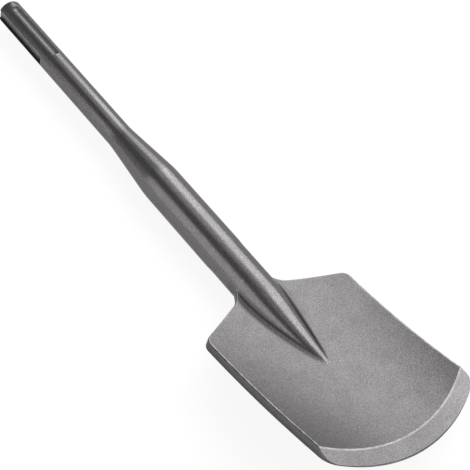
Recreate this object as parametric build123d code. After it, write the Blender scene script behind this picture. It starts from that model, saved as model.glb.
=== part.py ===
from build123d import *
import math
import os

os.makedirs("parts", exist_ok=True)

# Clay spade chisel for a rotary hammer, forged from one bar, in millimetres.
# It is drawn with X along the shank, from its driven end to the cutting edge,
# and Z square to the blade, on its hollow side.  At the end it is rolled onto
# the corner that it comes to rest on, and moved to its origin.

# Round shank, and the depth that the chuck takes
SHANK_DIAMETER = 18.0
SHANK_LENGTH = 143.0
INSERTION_DEPTH = 90.0
END_ROUND = 2.4

# Locking grooves, closed at both ends, above and below
LOCK_GROOVE_COUNT = 2
LOCK_GROOVE_START = 6.5
LOCK_GROOVE_END = 62.5
LOCK_GROOVE_RADIUS = 3.8
LOCK_GROOVE_DEPTH = 2.5

# Drive slots, open at the driven end: a wide one, and a pair opposite.
# Their angles run about the shank from its +Y side.
DRIVE_SLOT_LENGTH = 59.0
DRIVE_SLOT_DEPTH = 2.6
WIDE_SLOT_WIDTH = 7.2
WIDE_SLOT_ANGLE = 180.0
PAIR_SLOT_WIDTH = 4.4
PAIR_SLOT_ANGLE = 29.0
SLOT_RUNOUT_RADIUS = 9.0

# Flare, shaft and the neck that the forging dies leave slightly thinner
FLARE_LENGTH = 46.0
FLARE_BLEND_RADIUS = 90.0
SHAFT_DIAMETER = 26.8
SHAFT_LENGTH = 69.0
NECK_DIAMETER = 26.2
NECK_STEP_LENGTH = 7.0
NECK_LENGTH = 37.0

# Fairing that tapers the neck into both faces of the blade
FAIRING_LENGTH = 64.0
FAIRING_TIP_RADIUS = 2.7
FAIRING_EXPONENT = 1.4

# Blends that carry the neck and its fairing out into each face
BLEND_RADIUS = 4.0
BLEND_GROWTH = 13.0
BLEND_LEAD = 15.0
BLEND_STOP = 2.5
BLEND_TOE = 0.1

# Blade: an even plate, hollow across and swept up along its length
BLADE_LENGTH = 132.6
BLADE_WIDTH = 114.3
BLADE_THICKNESS = 6.0
BLADE_SINK = 1.0
SWEEP_LEAD = 11.0
SWEEP_RADIUS = 556.0
REAR_HOLLOW_RADIUS = 290.0
FRONT_HOLLOW_RADIUS = 163.0

# Outline of the blade, with its rear corners set ahead of the neck
SHOULDER_SETBACK = 12.5
SHOULDER_ANGLE = 24.0
SHOULDER_FILLET = 18.0
REAR_CORNER_RADIUS = 7.0
WAIST_DEPTH = 0.2
FRONT_CORNER_RADIUS = 12.5
EDGE_ARC_RADIUS = 95.0
RIM_ROUND = 0.8

# Ground bevel on the hollow side, and the flat that is left at the edge
BEVEL_WIDTH = 12.1
BEVEL_ARC_RADIUS = 96.0
EDGE_LAND = 0.8

# Places along X that follow from these sizes
FLARE_START = SHANK_LENGTH
FLARE_END = FLARE_START + FLARE_LENGTH
NECK_STEP_START = FLARE_END + SHAFT_LENGTH
NECK_START = NECK_STEP_START + NECK_STEP_LENGTH
FAIRING_START = NECK_START + NECK_LENGTH
FAIRING_END = FAIRING_START + FAIRING_LENGTH
BLEND_START = FAIRING_START - BLEND_LEAD
BLEND_END = FAIRING_END - BLEND_STOP
SWEEP_START = FAIRING_START - SWEEP_LEAD
REAR_CORNER_X = FAIRING_START + SHOULDER_SETBACK
EDGE_X = REAR_CORNER_X + BLADE_LENGTH
EDGE_ARC_CENTRE_X = EDGE_X - EDGE_ARC_RADIUS
BEVEL_ARC_CENTRE_X = EDGE_X - BEVEL_WIDTH - BEVEL_ARC_RADIUS
HALF_WIDTH = BLADE_WIDTH / 2
FRONT_CORNER_X = BEVEL_ARC_CENTRE_X + math.sqrt(BEVEL_ARC_RADIUS**2 - HALF_WIDTH**2)

# Corner where the shoulders leave the neck, at the height of the blade's underside
UNDERSIDE_DEPTH = BLADE_THICKNESS / 2 + BLADE_SINK
SHOULDER_ROOT_Y = math.sqrt((NECK_DIAMETER / 2) ** 2 - UNDERSIDE_DEPTH**2)
SHOULDER_SLOPE = math.tan(math.radians(SHOULDER_ANGLE))
SHOULDER_ROOT_X = REAR_CORNER_X - (HALF_WIDTH - SHOULDER_ROOT_Y) * SHOULDER_SLOPE

# Room that cuts and blanks run past the work, and stations of the lofts
OVERRUN = 5.0
BLANK_SECTIONS = 6
FAIRING_SECTIONS = 6
BLEND_SECTIONS = 10
BEVEL_SECTIONS = 9


def keel_height(x):
    """Height of the blade's hollow face on its centre line, over the shank's axis."""
    rise = SWEEP_RADIUS - math.sqrt(SWEEP_RADIUS**2 - (x - SWEEP_START) ** 2)
    return BLADE_THICKNESS / 2 - BLADE_SINK + rise


def hollow_radius(x):
    """Radius of the hollow across the blade, which tightens evenly to the front."""
    share = (x - REAR_CORNER_X) / (FRONT_CORNER_X - REAR_CORNER_X)
    return 1 / ((1 - share) / REAR_HOLLOW_RADIUS + share / FRONT_HOLLOW_RADIUS)


def face_height(x, y):
    """Height of the hollow face at a point of the plan."""
    radius = hollow_radius(x)
    return keel_height(x) + radius - math.sqrt(radius**2 - y**2)


def half_width(x):
    """Half width of the hollow face, slightly waisted between its corners."""
    share = (x - REAR_CORNER_X) / (FRONT_CORNER_X - REAR_CORNER_X)
    return HALF_WIDTH - WAIST_DEPTH * 4 * share * (1 - share)


def across(x):
    """Plane square to the shank at x, with its own X across the blade."""
    return Plane(origin=(x, 0, 0), x_dir=(0, 1, 0), z_dir=(1, 0, 0))


def bar():
    """Turned shank, flare, shaft and neck, as one revolved profile."""
    shank_r = SHANK_DIAMETER / 2
    shaft_r = SHAFT_DIAMETER / 2
    neck_r = NECK_DIAMETER / 2
    points = [
        (0, 0),
        (0, shank_r),
        (FLARE_START, shank_r),
        (FLARE_END, shaft_r),
        (NECK_STEP_START, shaft_r),
        (NECK_START, neck_r),
        (FAIRING_START, neck_r),
        (FAIRING_START, 0),
    ]
    profile = make_face(Polyline(*points, close=True))
    flare_corners = profile.vertices().filter_by(lambda v: v.X in (FLARE_START, FLARE_END))
    profile = fillet(flare_corners, FLARE_BLEND_RADIUS)
    end_corner = profile.vertices().sort_by_distance((0, shank_r, 0))[0]
    profile = fillet(end_corner, END_ROUND)
    return revolve(profile, Axis.X)


def locking_groove(angle):
    """Round-bottomed groove with ball ends, at an angle about the shank."""
    middle = (LOCK_GROOVE_START + LOCK_GROOVE_END) / 2
    straight = LOCK_GROOVE_END - LOCK_GROOVE_START - 2 * LOCK_GROOVE_RADIUS
    lift = SHANK_DIAMETER / 2 - LOCK_GROOVE_DEPTH + LOCK_GROOVE_RADIUS
    rod = Pos(middle, 0, lift) * Rot(Y=90) * Cylinder(LOCK_GROOVE_RADIUS, straight)
    ends = [Pos(middle + side * straight / 2, 0, lift) * Sphere(LOCK_GROOVE_RADIUS) for side in (-1, 1)]
    return Rot(X=angle) * (rod + ends)


def drive_slot(angle, width):
    """Flat-bottomed slot, open at the driven end, that runs out on a cutter's radius."""
    depth_line = SHANK_DIAMETER / 2 - DRIVE_SLOT_DEPTH
    top = depth_line + SLOT_RUNOUT_RADIUS
    floor = Line((-OVERRUN, depth_line), (DRIVE_SLOT_LENGTH - SLOT_RUNOUT_RADIUS, depth_line))
    runout = JernArc(floor @ 1, (1, 0), SLOT_RUNOUT_RADIUS, 90)
    rest = Polyline(runout @ 1, (-OVERRUN, top), floor @ 0)
    profile = Plane.XZ * make_face([floor, runout, rest])
    return Rot(X=angle) * extrude(profile, width / 2, both=True)


def grooves():
    """Every groove of the shank, as one cutter."""
    cutter = [locking_groove(360 / LOCK_GROOVE_COUNT * turn) for turn in range(LOCK_GROOVE_COUNT)]
    cutter.append(drive_slot(WIDE_SLOT_ANGLE - 90, WIDE_SLOT_WIDTH))
    for side in (-1, 1):
        cutter.append(drive_slot(side * PAIR_SLOT_ANGLE - 90, PAIR_SLOT_WIDTH))
    return cutter


def blade_section(x):
    """Section of the blade's blank at x: a curved strip of even thickness."""
    inner_r = hollow_radius(x)
    spread = math.degrees(math.asin((HALF_WIDTH + 2 * OVERRUN) / inner_r))
    centre = (0, keel_height(x) + inner_r)
    inner = CenterArc(centre, inner_r, 270 - spread, 2 * spread)
    outer = CenterArc(centre, inner_r + BLADE_THICKNESS, 270 - spread, 2 * spread)
    left = Line(inner @ 0, outer @ 0)
    right = Line(inner @ 1, outer @ 1)
    return across(x) * make_face([inner, right, outer, left])


def blade_blank():
    """Hollow, swept plate, larger all round than the finished blade."""
    start = SHOULDER_ROOT_X - SHOULDER_FILLET
    step = (EDGE_X + OVERRUN - start) / (BLANK_SECTIONS - 1)
    return loft([blade_section(start + step * i) for i in range(BLANK_SECTIONS)])


def side_reach(x, level):
    """Half width at a height between the side walls, which stand square to the plate."""
    width = half_width(x)
    slope = width / math.sqrt(hollow_radius(x) ** 2 - width**2)
    return width + (face_height(x, width) - level) * slope


def half_plan(level):
    """Outline of half the blade at a height: shoulder out of the neck, side and front arc."""
    ends = (REAR_CORNER_X - OVERRUN, (REAR_CORNER_X + EDGE_X) / 2, EDGE_X)
    side = ThreePointArc(*[(x, side_reach(x, level)) for x in ends])
    rear_y = (side @ 0).Y
    strip = Polyline(side @ 1, (EDGE_X, 0), (NECK_START, 0), (NECK_START, rear_y), side @ 0)

    out = (side @ 1).Y + OVERRUN
    turn = math.degrees(math.asin(min(1, out / EDGE_ARC_RADIUS)))
    front = CenterArc((EDGE_ARC_CENTRE_X, 0), EDGE_ARC_RADIUS, turn, -turn)
    rear = Polyline(
        front @ 1,
        (NECK_START, 0),
        (NECK_START, SHOULDER_ROOT_Y),
        (SHOULDER_ROOT_X, SHOULDER_ROOT_Y),
        (SHOULDER_ROOT_X + (out - SHOULDER_ROOT_Y) * SHOULDER_SLOPE, out),
        front @ 0,
    )
    half = make_face([side, strip]) & make_face([front, rear])

    half = fillet(half.vertices().sort_by(Axis.X)[-2], FRONT_CORNER_RADIUS)
    half = fillet(half.vertices().sort_by(Axis.X)[3], REAR_CORNER_RADIUS)
    half = fillet(half.vertices().sort_by(Axis.X)[2], SHOULDER_FILLET)
    return Pos(0, 0, level) * half


def is_rim(edge):
    """Whether an edge of the half blade is on its outline, clear of the neck."""
    clear_x = SHOULDER_ROOT_X - SHOULDER_FILLET / 2
    return edge.center().X > clear_x and edge.center().Y > OVERRUN


def blade():
    """Blank trimmed to its outline, with rounded rims and a ground bevel, half at a time."""
    low = -UNDERSIDE_DEPTH - OVERRUN
    high = face_height(EDGE_X, HALF_WIDTH) + OVERRUN
    half = blade_blank() & loft([half_plan(low), half_plan(high)], ruled=True)
    rims = ShapeList()
    for face in half.faces().sort_by(SortBy.AREA)[-2:]:
        rims += face.edges().filter_by(is_rim).sort_by(Axis.X)[:-1]
    half = fillet(rims, RIM_ROUND) - bevel_cutter()
    return half + mirror(half, Plane.XZ)


def bevel_section(angle):
    """Section of the bevel's cutter, in a plane through the middle of the edge's arc."""
    along = math.cos(math.radians(angle))
    aside = math.sin(math.radians(angle))
    offset = EDGE_ARC_CENTRE_X - BEVEL_ARC_CENTRE_X
    inner = math.sqrt(BEVEL_ARC_RADIUS**2 - (offset * aside) ** 2) - offset * along
    top = face_height(EDGE_ARC_CENTRE_X + inner * along, inner * aside)
    face_at_edge = face_height(EDGE_ARC_CENTRE_X + EDGE_ARC_RADIUS * along, EDGE_ARC_RADIUS * aside)
    edge = face_at_edge - BLADE_THICKNESS + EDGE_LAND
    overrun_drop = (top - edge) * OVERRUN / (EDGE_ARC_RADIUS - inner)
    plane = Plane(origin=(EDGE_ARC_CENTRE_X, 0, 0), x_dir=(along, aside, 0), z_dir=(aside, -along, 0))
    points = [
        (inner - OVERRUN, top + overrun_drop),
        (EDGE_ARC_RADIUS + OVERRUN, edge - overrun_drop),
        (EDGE_ARC_RADIUS + OVERRUN, top + 4 * OVERRUN),
        (inner - OVERRUN, top + 4 * OVERRUN),
    ]
    return plane * make_face(Polyline(*points, close=True))


def bevel_cutter():
    """Ground bevel on the hollow side, from its inner arc down to the cutting edge."""
    spread = math.degrees(math.asin((HALF_WIDTH + OVERRUN) / EDGE_ARC_RADIUS))
    step = 2 * spread / (BEVEL_SECTIONS - 1)
    return loft([bevel_section(step * i - spread) for i in range(BEVEL_SECTIONS)])


def fairing_circle(x):
    """Radius of the neck or its fairing at x, and the height of its centre."""
    share = max(0.0, (x - FAIRING_START) / FAIRING_LENGTH)
    ease = share**FAIRING_EXPONENT
    radius = NECK_DIAMETER / 2 + ease * (FAIRING_TIP_RADIUS - NECK_DIAMETER / 2)
    rise = share**2 * (3 - 2 * share)
    return radius, rise * (keel_height(x) - BLADE_THICKNESS / 2)


def fairing():
    """Cone that tapers the neck into both faces of the blade, following its sweep."""
    sections = []
    for i in range(FAIRING_SECTIONS):
        x = FAIRING_START + FAIRING_LENGTH * i / (FAIRING_SECTIONS - 1)
        radius, height = fairing_circle(x)
        sections.append(across(x) * Pos(0, height) * Circle(radius))
    return loft(sections)


def blend_section(x, side, above):
    """Section of the blend between the fairing and one face, its toes sunk in both."""
    share = min(1.0, (x - BLEND_START) / BLEND_GROWTH)
    fillet_r = BLEND_TOE + BLEND_RADIUS * share**2 * (3 - 2 * share)
    radius, height = fairing_circle(x)
    from_fairing = radius + fillet_r - BLEND_TOE
    from_face = hollow_radius(x) - fillet_r + BLEND_TOE
    if not above:
        from_face = hollow_radius(x) + BLADE_THICKNESS + fillet_r - BLEND_TOE
    apart = keel_height(x) + hollow_radius(x) - height
    rise = (from_fairing**2 - from_face**2 + apart**2) / (2 * apart)
    aside = math.sqrt(from_fairing**2 - rise**2)
    centre = Vector(side * aside, height + rise)
    face_centre = Vector(0, height + apart)
    on_fairing = centre + (Vector(0, height) - centre).normalized() * fillet_r
    toward_face = (centre - face_centre if above else face_centre - centre).normalized()
    on_face = centre + toward_face * fillet_r
    between = centre + (on_fairing + on_face - centre * 2).normalized() * fillet_r
    root = Vector(side * aside / 2, (on_face.Y + height) / 2)
    outline = [ThreePointArc(on_fairing, between, on_face), Polyline(on_face, root, on_fairing)]
    return across(x) * make_face(outline)


def blend(side, above):
    """Blend that carries the fairing out into one half of one face."""
    step = (BLEND_END - BLEND_START) / (BLEND_SECTIONS - 1)
    sections = [blend_section(BLEND_START + step * i, side, above) for i in range(BLEND_SECTIONS)]
    return loft(sections)


def chisel():
    """The whole tool, as it is drawn."""
    body = bar() + fairing() + blade()
    for side in (-1, 1):
        body += blend(side, above=True)
        body += blend(side, above=False)
    return body - grooves()


def rest_roll():
    """Angle in degrees by which the tool rolls until its rear corner rests."""
    tilt = math.asin(HALF_WIDTH / REAR_HOLLOW_RADIUS)
    inset = BLADE_THICKNESS - RIM_ROUND
    corner_y = HALF_WIDTH + inset * math.sin(tilt) - RIM_ROUND * math.cos(tilt)
    corner_z = face_height(REAR_CORNER_X, HALF_WIDTH) - inset * math.cos(tilt) - RIM_ROUND * math.sin(tilt)
    lift = math.asin((SHAFT_DIAMETER / 2 - RIM_ROUND) / math.hypot(corner_y, corner_z))
    return math.degrees(math.atan2(corner_z, corner_y) + lift)


clay_spade = Rot(X=-rest_roll()) * Pos(-INSERTION_DEPTH, 0, 0) * chisel()
export_step(clay_spade, "parts/clay_spade.step")
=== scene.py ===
"""Clay spade chisel: forged blank, milled grooves, blasted steel and a plain studio."""

import math

import bpy
import numpy as np
from bpy.props import FloatProperty, FloatVectorProperty, IntProperty, PointerProperty
from mathutils import Matrix, Vector


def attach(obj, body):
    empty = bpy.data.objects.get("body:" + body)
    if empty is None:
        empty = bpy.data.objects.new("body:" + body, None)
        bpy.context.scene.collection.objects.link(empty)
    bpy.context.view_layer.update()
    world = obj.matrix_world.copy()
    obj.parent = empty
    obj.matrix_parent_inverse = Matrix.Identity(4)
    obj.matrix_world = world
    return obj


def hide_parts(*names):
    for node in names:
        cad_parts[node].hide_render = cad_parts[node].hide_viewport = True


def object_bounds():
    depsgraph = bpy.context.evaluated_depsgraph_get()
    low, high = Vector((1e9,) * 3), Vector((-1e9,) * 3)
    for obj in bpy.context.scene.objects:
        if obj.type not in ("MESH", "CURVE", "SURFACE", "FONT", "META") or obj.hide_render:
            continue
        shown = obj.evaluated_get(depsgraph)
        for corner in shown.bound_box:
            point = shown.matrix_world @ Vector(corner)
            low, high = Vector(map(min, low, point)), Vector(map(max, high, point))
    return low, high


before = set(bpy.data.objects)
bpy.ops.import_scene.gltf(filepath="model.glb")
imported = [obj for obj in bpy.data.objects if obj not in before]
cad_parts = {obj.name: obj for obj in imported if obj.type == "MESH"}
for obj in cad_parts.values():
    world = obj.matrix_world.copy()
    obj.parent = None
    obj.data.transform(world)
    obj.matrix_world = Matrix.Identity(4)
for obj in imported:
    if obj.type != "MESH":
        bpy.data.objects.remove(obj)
cad_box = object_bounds()

bl_info = {
    "name": "Clay Spade Chisel",
    "version": (1, 0, 0),
    "blender": (4, 5, 0),
    "location": "View3D > Sidebar > Clay Spade",
    "description": "Forges a clay spade chisel, cuts its shank grooves, finishes its steel and lights it",
    "category": "Object",
}

PIECE_NAME = "forged_spade"
CAD_NODE = "clay_spade"

# Points that the driven end and each stretch of the outline are drawn with
END_FACE_RINGS = (0.1, 0.3, 0.5, 0.7, 0.9)
END_ROUND_POINTS = 8
SHOULDER_FILLET_POINTS = 18
SHOULDER_LINE_POINTS = 34
REAR_CORNER_POINTS = 12
SIDE_END_POINTS = 5
FRONT_CORNER_POINTS = 14

# Samples that a row is measured with, and the pull of its turns on its points, in radii of the blend
ROW_SAMPLES = 1201
TURN_PULL = 2.5

# Rounds in which a point of the outline is closed in on, and the share of a step that gives its slope
CLOSING_ROUNDS = 20
SLOPE_PROBE = 0.01

# Room past the neck over which the first rows of the blade are eased, in radii of the rims
EASED_RIMS = 1.5

# Narrowest blend that the scale is measured across
LEAST_BLEND = 1e-5

# The grain's dents and speckle beside its pits: how densely they lie, and how deep the dents are
DENT_DENSITY = 0.45
SPECKLE_DENSITY = 0.8
DENT_DEPTH = 0.7

# Ranges of the grain's noise, of the noise that leaves gaps in the wear, and of a crease's openness, over
# which the painted crease shade sets in
NOISE_RANGE = (0.3, 0.7)
GAP_RANGE = (0.35, 0.6)
CREASE_RANGE = (0.5, 0.95)

# What the wear keeps in its gaps
GAP_WEAR = 0.35

# Steepest turn between two faces that is still shaded smooth
SMOOTH_TURN = math.radians(20)

# How far a drive slot's cutter is drawn out, in lengths of the slot
SLOT_DRAW = 1.5

# Points round the studio's floor, and its bend up to the wall: out and up, in radii of the bend
FLOOR_POINTS = 96
WALL_BEND = ((-1.0, 0.0), (-0.6, 0.08), (-0.3, 0.3), (-0.08, 0.6), (0.0, 1.0))

# Soft boxes: bearing and elevation in degrees, width and height in metres, and share of a set power
SOFT_BOXES = (
    ("soft_box", 95.5, 36.0, 1.70, 1.02, "key_power", 1.0),
    ("edge_box", 84.0, 64.0, 0.80, 0.40, "key_power", 0.16),
    ("flare_box", 139.0, 24.5, 0.45, 0.68, "key_power", 0.11),
    ("side_box", 262.0, 29.0, 1.60, 1.00, "side_power", 1.0),
    ("top_box", 148.0, 56.0, 0.70, 0.50, "top_power", 1.0),
    ("ceiling_box", 165.0, 84.0, 0.50, 0.50, "side_power", 0.06),
)


def length(name, description, default):
    """A size in metres."""
    return FloatProperty(name=name, description=description, default=default, min=0.0, precision=5,
                         subtype="DISTANCE", unit="LENGTH")


def angle(name, description, degrees):
    """An angle, given in degrees and kept in radians."""
    return FloatProperty(name=name, description=description, default=math.radians(degrees),
                         subtype="ANGLE", unit="ROTATION")


def share(name, description, default):
    """A plain factor."""
    return FloatProperty(name=name, description=description, default=default, precision=4)


def colour(name, description, default):
    """A linear colour."""
    return FloatVectorProperty(name=name, description=description, default=default, size=4,
                               subtype="COLOR", min=0.0, max=1.0)


class BarSizes(bpy.types.PropertyGroup):
    """Shank, flare, shaft and neck: everything that is round about the tool's axis."""

    insertion: length("Insertion", "Depth that the chuck takes, from the driven end to the origin", 0.090)
    roll: angle("Roll", "Turn about the shank that lays the blade on its rear corner", 15.5866)
    shank_diameter: length("Shank diameter", "Diameter of the shank", 0.018)
    shank_length: length("Shank length", "Length of the shank, up to the flare", 0.143)
    end_round: length("End round", "Radius round the driven end", 0.0024)
    flare_length: length("Flare length", "Length of the flare", 0.046)
    flare_blend: length("Flare blend", "Radius at both ends of the flare", 0.090)
    shaft_diameter: length("Shaft diameter", "Diameter of the shaft", 0.02676)
    shaft_length: length("Shaft length", "Length of the shaft", 0.069)
    neck_diameter: length("Neck diameter", "Diameter that the dies leave at the neck", 0.0262)
    neck_step: length("Neck step", "Length over which the shaft thins to the neck", 0.007)
    neck_length: length("Neck length", "Length of the neck, up to its fairing", 0.037)


class GrooveSizes(bpy.types.PropertyGroup):
    """Grooves of the shank that the chuck locks and drives."""

    lock_count: IntProperty(name="Locking grooves", description="Closed grooves about the shank",
                            default=2, min=1)
    lock_start: length("Lock start", "Rear end of a locking groove", 0.0065)
    lock_end: length("Lock end", "Front end of a locking groove", 0.0625)
    lock_radius: length("Lock radius", "Radius of a locking groove's round bottom", 0.0038)
    lock_depth: length("Lock depth", "Depth of a locking groove", 0.0025)
    slot_length: length("Slot length", "Length of a drive slot, run-out and all", 0.059)
    slot_depth: length("Slot depth", "Depth of a drive slot", 0.0026)
    slot_runout: length("Slot run-out", "Radius of the cutter that leaves the run-out", 0.009)
    wide_width: length("Wide slot width", "Width of the single slot", 0.0072)
    pair_width: length("Pair slot width", "Width of each slot of the pair", 0.0044)
    pair_angle: angle("Pair angle", "Angle of each slot of the pair from the wide slot's far side", 29.0)


class FairingSizes(bpy.types.PropertyGroup):
    """Fairing that tapers the neck into the blade, and the blends beside it."""

    length: length("Length", "Length of the fairing", 0.064)
    tip_radius: length("Tip radius", "Radius of the fairing's tip", 0.0027)
    exponent: share("Exponent", "How late the fairing tapers: 1 is a plain cone", 1.4)
    blend_radius: length("Blend radius", "Radius of the blend between fairing and blade", 0.0040)
    blend_start: length("Blend start", "Radius of that blend where the blade begins", 0.0008)
    blend_growth: length("Blend growth", "Length over which the blend grows to its radius", 0.014)


class BladeSizes(bpy.types.PropertyGroup):
    """Blade: an even plate, hollow across and swept up along its length."""

    length: length("Length", "Length from the rear corners to the cutting edge", 0.1326)
    width: length("Width", "Width of the hollow face at its corners", 0.11394)
    thickness: length("Thickness", "Thickness of the plate", 0.006)
    sink: length("Sink", "How far the plate's middle lies under the shank's axis", 0.001)
    sweep_lead: length("Sweep lead", "How far before the fairing the sweep begins", 0.011)
    sweep_radius: length("Sweep radius", "Radius of the sweep along the blade", 0.556)
    rear_hollow: length("Rear hollow", "Radius of the hollow at the rear corners", 0.290)
    front_hollow: length("Front hollow", "Radius of the hollow at the front corners", 0.163)
    setback: length("Shoulder setback", "Distance from the neck's end to the rear corners", 0.0125)
    shoulder_angle: angle("Shoulder angle", "Slant of the shoulders from square", 24.0)
    shoulder_fillet: length("Shoulder fillet", "Radius between the neck and a shoulder", 0.018)
    rear_corner: length("Rear corner", "Radius of a rear corner", 0.007)
    waist: length("Waist", "How far the sides draw in between their corners", 0.0002)
    front_corner: length("Front corner", "Radius of a front corner", 0.0125)
    rim_round: length("Rim round", "Radius along the forged rims", 0.0008)


class EdgeSizes(bpy.types.PropertyGroup):
    """Cutting edge and the bevel ground on the hollow side."""

    arc_radius: length("Edge arc", "Radius of the cutting edge in plan", 0.095)
    bevel_width: length("Bevel width", "Width of the bevel on the centre line", 0.0121)
    bevel_arc: length("Bevel arc", "Radius of the bevel's inner line in plan", 0.096)
    land: length("Land", "Height of the flat left at the cutting edge", 0.0008)
    ground_round: length("Ground round", "Wear along rims that were ground", 0.00015)


class MeshDensity(bpy.types.PropertyGroup):
    """How finely the forged blank is divided."""

    face_points: IntProperty(name="Face points", description="Points across each face", default=100, min=8)
    rim_points: IntProperty(name="Rim points", description="Points round each rim", default=6, min=1)
    wall_points: IntProperty(name="Wall points", description="Points down each side wall", default=3, min=1)
    bar_step: length("Bar step", "Distance between rings of the bar", 0.0024)
    blade_step: length("Blade step", "Distance between rows of the blade", 0.0015)


class SteelFinish(bpy.types.PropertyGroup):
    """Colours, roughness and marks of the four steels: blasted, ground, cut, and the darker wall steel, whose
    darkness is painted shade.
    """

    blasted: colour("Blasted", "Colour of the blasted steel", (0.146, 0.140, 0.142, 1.0))
    ground: colour("Ground", "Colour of the ground bevel", (0.163, 0.157, 0.160, 1.0))
    # The side walls and the flat at the edge are darker as painted shade, for the tool's own shadow that they
    # would reflect
    shaded_walls: colour("Trimmed", "Colour of the sheared side walls and the edge", (0.110, 0.106, 0.107, 1.0))
    cut: colour("Cut", "Colour of the cut grooves", (0.195, 0.189, 0.191, 1.0))
    # The worn colour is wear that also paints highlights along the rims
    worn_and_highlit: colour("Worn", "Colour of rims that wear has brightened", (0.55, 0.54, 0.54, 1.0))
    # The slant tint darkens the steel's reflections towards its outlines: painted shade
    slant: colour("Slant", "Tint of the steel where it is seen at a slant", (0.65, 0.65, 0.65, 1.0))
    blade_shade: share("Blade shade", "What the blade keeps of the bar's brightness", 0.87)

    bar_roughness: share("Bar roughness", "Roughness of the shank, shaft and neck", 0.25)
    blasted_roughness: share("Blasted roughness", "Roughness of the blasted blade", 0.37)
    ground_roughness: share("Ground roughness", "Roughness of the ground bevel", 0.38)
    cut_roughness: share("Cut roughness", "Roughness of the cut grooves", 0.45)
    uneven: share("Uneven", "How much the roughness changes from place to place", 0.03)
    dull_roughness: share("Dull roughness", "What full dullness adds to the roughness", 0.35)

    grain_size: length("Grain size", "Size of the pits that the shot leaves", 0.00055)
    ground_grain: length("Ground grain", "Size of the marks on the ground bevel", 0.000385)
    pit_depth: share("Pit depth", "Depth of the pits, as a share of their size", 0.25)
    bar_pits: share("Bar pits", "Strength of the pits on the bar", 0.175)
    blade_pits: share("Blade pits", "Strength of the pits on the blade", 0.5)
    ground_pits: share("Ground pits", "Strength of the marks on the ground bevel", 0.6)
    shaded_wall_pits: share("Trimmed pits", "Strength of the pits on the sheared side walls", 0.4)
    cut_pits: share("Cut pits", "Strength of the pits in the cut grooves", 0.2)
    mottle_size: length("Mottle size", "Size of the slow changes from place to place", 0.012)
    mottle: share("Mottle", "How much those changes lighten and darken the steel", 0.02)
    blasted_speckle: share("Blasted speckle", "How much single pits lighten and darken the steel", 0.28)
    ground_speckle: share("Ground speckle", "The same on the ground bevel", 0.38)
    cut_speckle: share("Cut speckle", "The same in the cut grooves", 0.168)

    wear_reach: length("Wear reach", "Width of the wear along a forged rim", 0.0011)
    sharp_reach: length("Sharp reach", "The same along rims that were ground or sheared", 0.000275)
    cut_reach: length("Cut reach", "The same along the cut grooves", 0.00022)
    break_up: length("Break-up", "Size of the gaps in the wear", 0.004)
    wear_sharpness: share("Wear sharpness", "How fast the wear sets in as a rim turns", 24.0)
    bar_wear: share("Bar wear", "What the bar's rims keep of the blade's wear", 0.45)
    # Painted shade in creases: the steel is darkened where its surface is less open, on the blade, the bar
    # and in the grooves
    crease_shade_reach: length("Scale reach", "Width of the creases where forging scale stays dark", 0.008)
    crease_shade_darkest: share("Scale darkest", "What a deep crease keeps of its colour", 0.2)
    bar_darkest: share("Bar darkest", "The same on the bar", 0.9)
    cut_darkest: share("Cut darkest", "The same in the cut grooves", 0.55)
    valley_shade: share("Valley shade", "What the blade's left valley keeps of its colour", 0.3)


class WearAndShadeMarks(bpy.types.PropertyGroup):
    """Wear and painted highlights marked on the tool's faces above 0, dullness and painted shade below 0, and
    the painted shadow in the left valley.
    """

    # Marks above 0 brighten a rim as wear and painted highlight; marks below 0 darken it as painted shade and
    # dull it
    upper_rim: share("Upper rim", "Wear along the crest of the upper rims", 0.5)
    rim_foot: share("Rim foot", "Dullness of the upper rims, below their crest", -0.85)
    lower_rim: share("Lower rim", "Dullness of the lower rims", -0.7)
    wall_foot: share("Wall foot", "Dullness at the foot of the side walls, which fades upward", -0.6)
    rearmost: share("Rearmost", "What the rims at the shoulders keep of the wear", 0.2)
    bevel_line: share("Bevel line", "Wear along the bevel's inner line", 0.15)
    bevel_left: share("Bevel left", "Dullness of the bevel's left half, which fades to the right", -0.13)
    edge_line: share("Edge line", "Dullness along the cutting edge", -0.85)
    land: share("Land", "Dullness of the flat at the cutting edge", -0.5)
    # Painted shadow in the blade's left valley beside the fairing, on the side away from the key lamp
    valley_width: length("Valley width", "How far the scale reaches past the left valley's blend", 0.0026)
    valley_taper: length("Valley taper", "Distance from the middle inside which that reach tapers", 0.01)
    valley_least: share("Valley least", "What the reach keeps at the fairing's tip", 0.3)
    valley_fade: share("Valley fade", "Share of the reach over which the scale fades out", 0.8)


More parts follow.
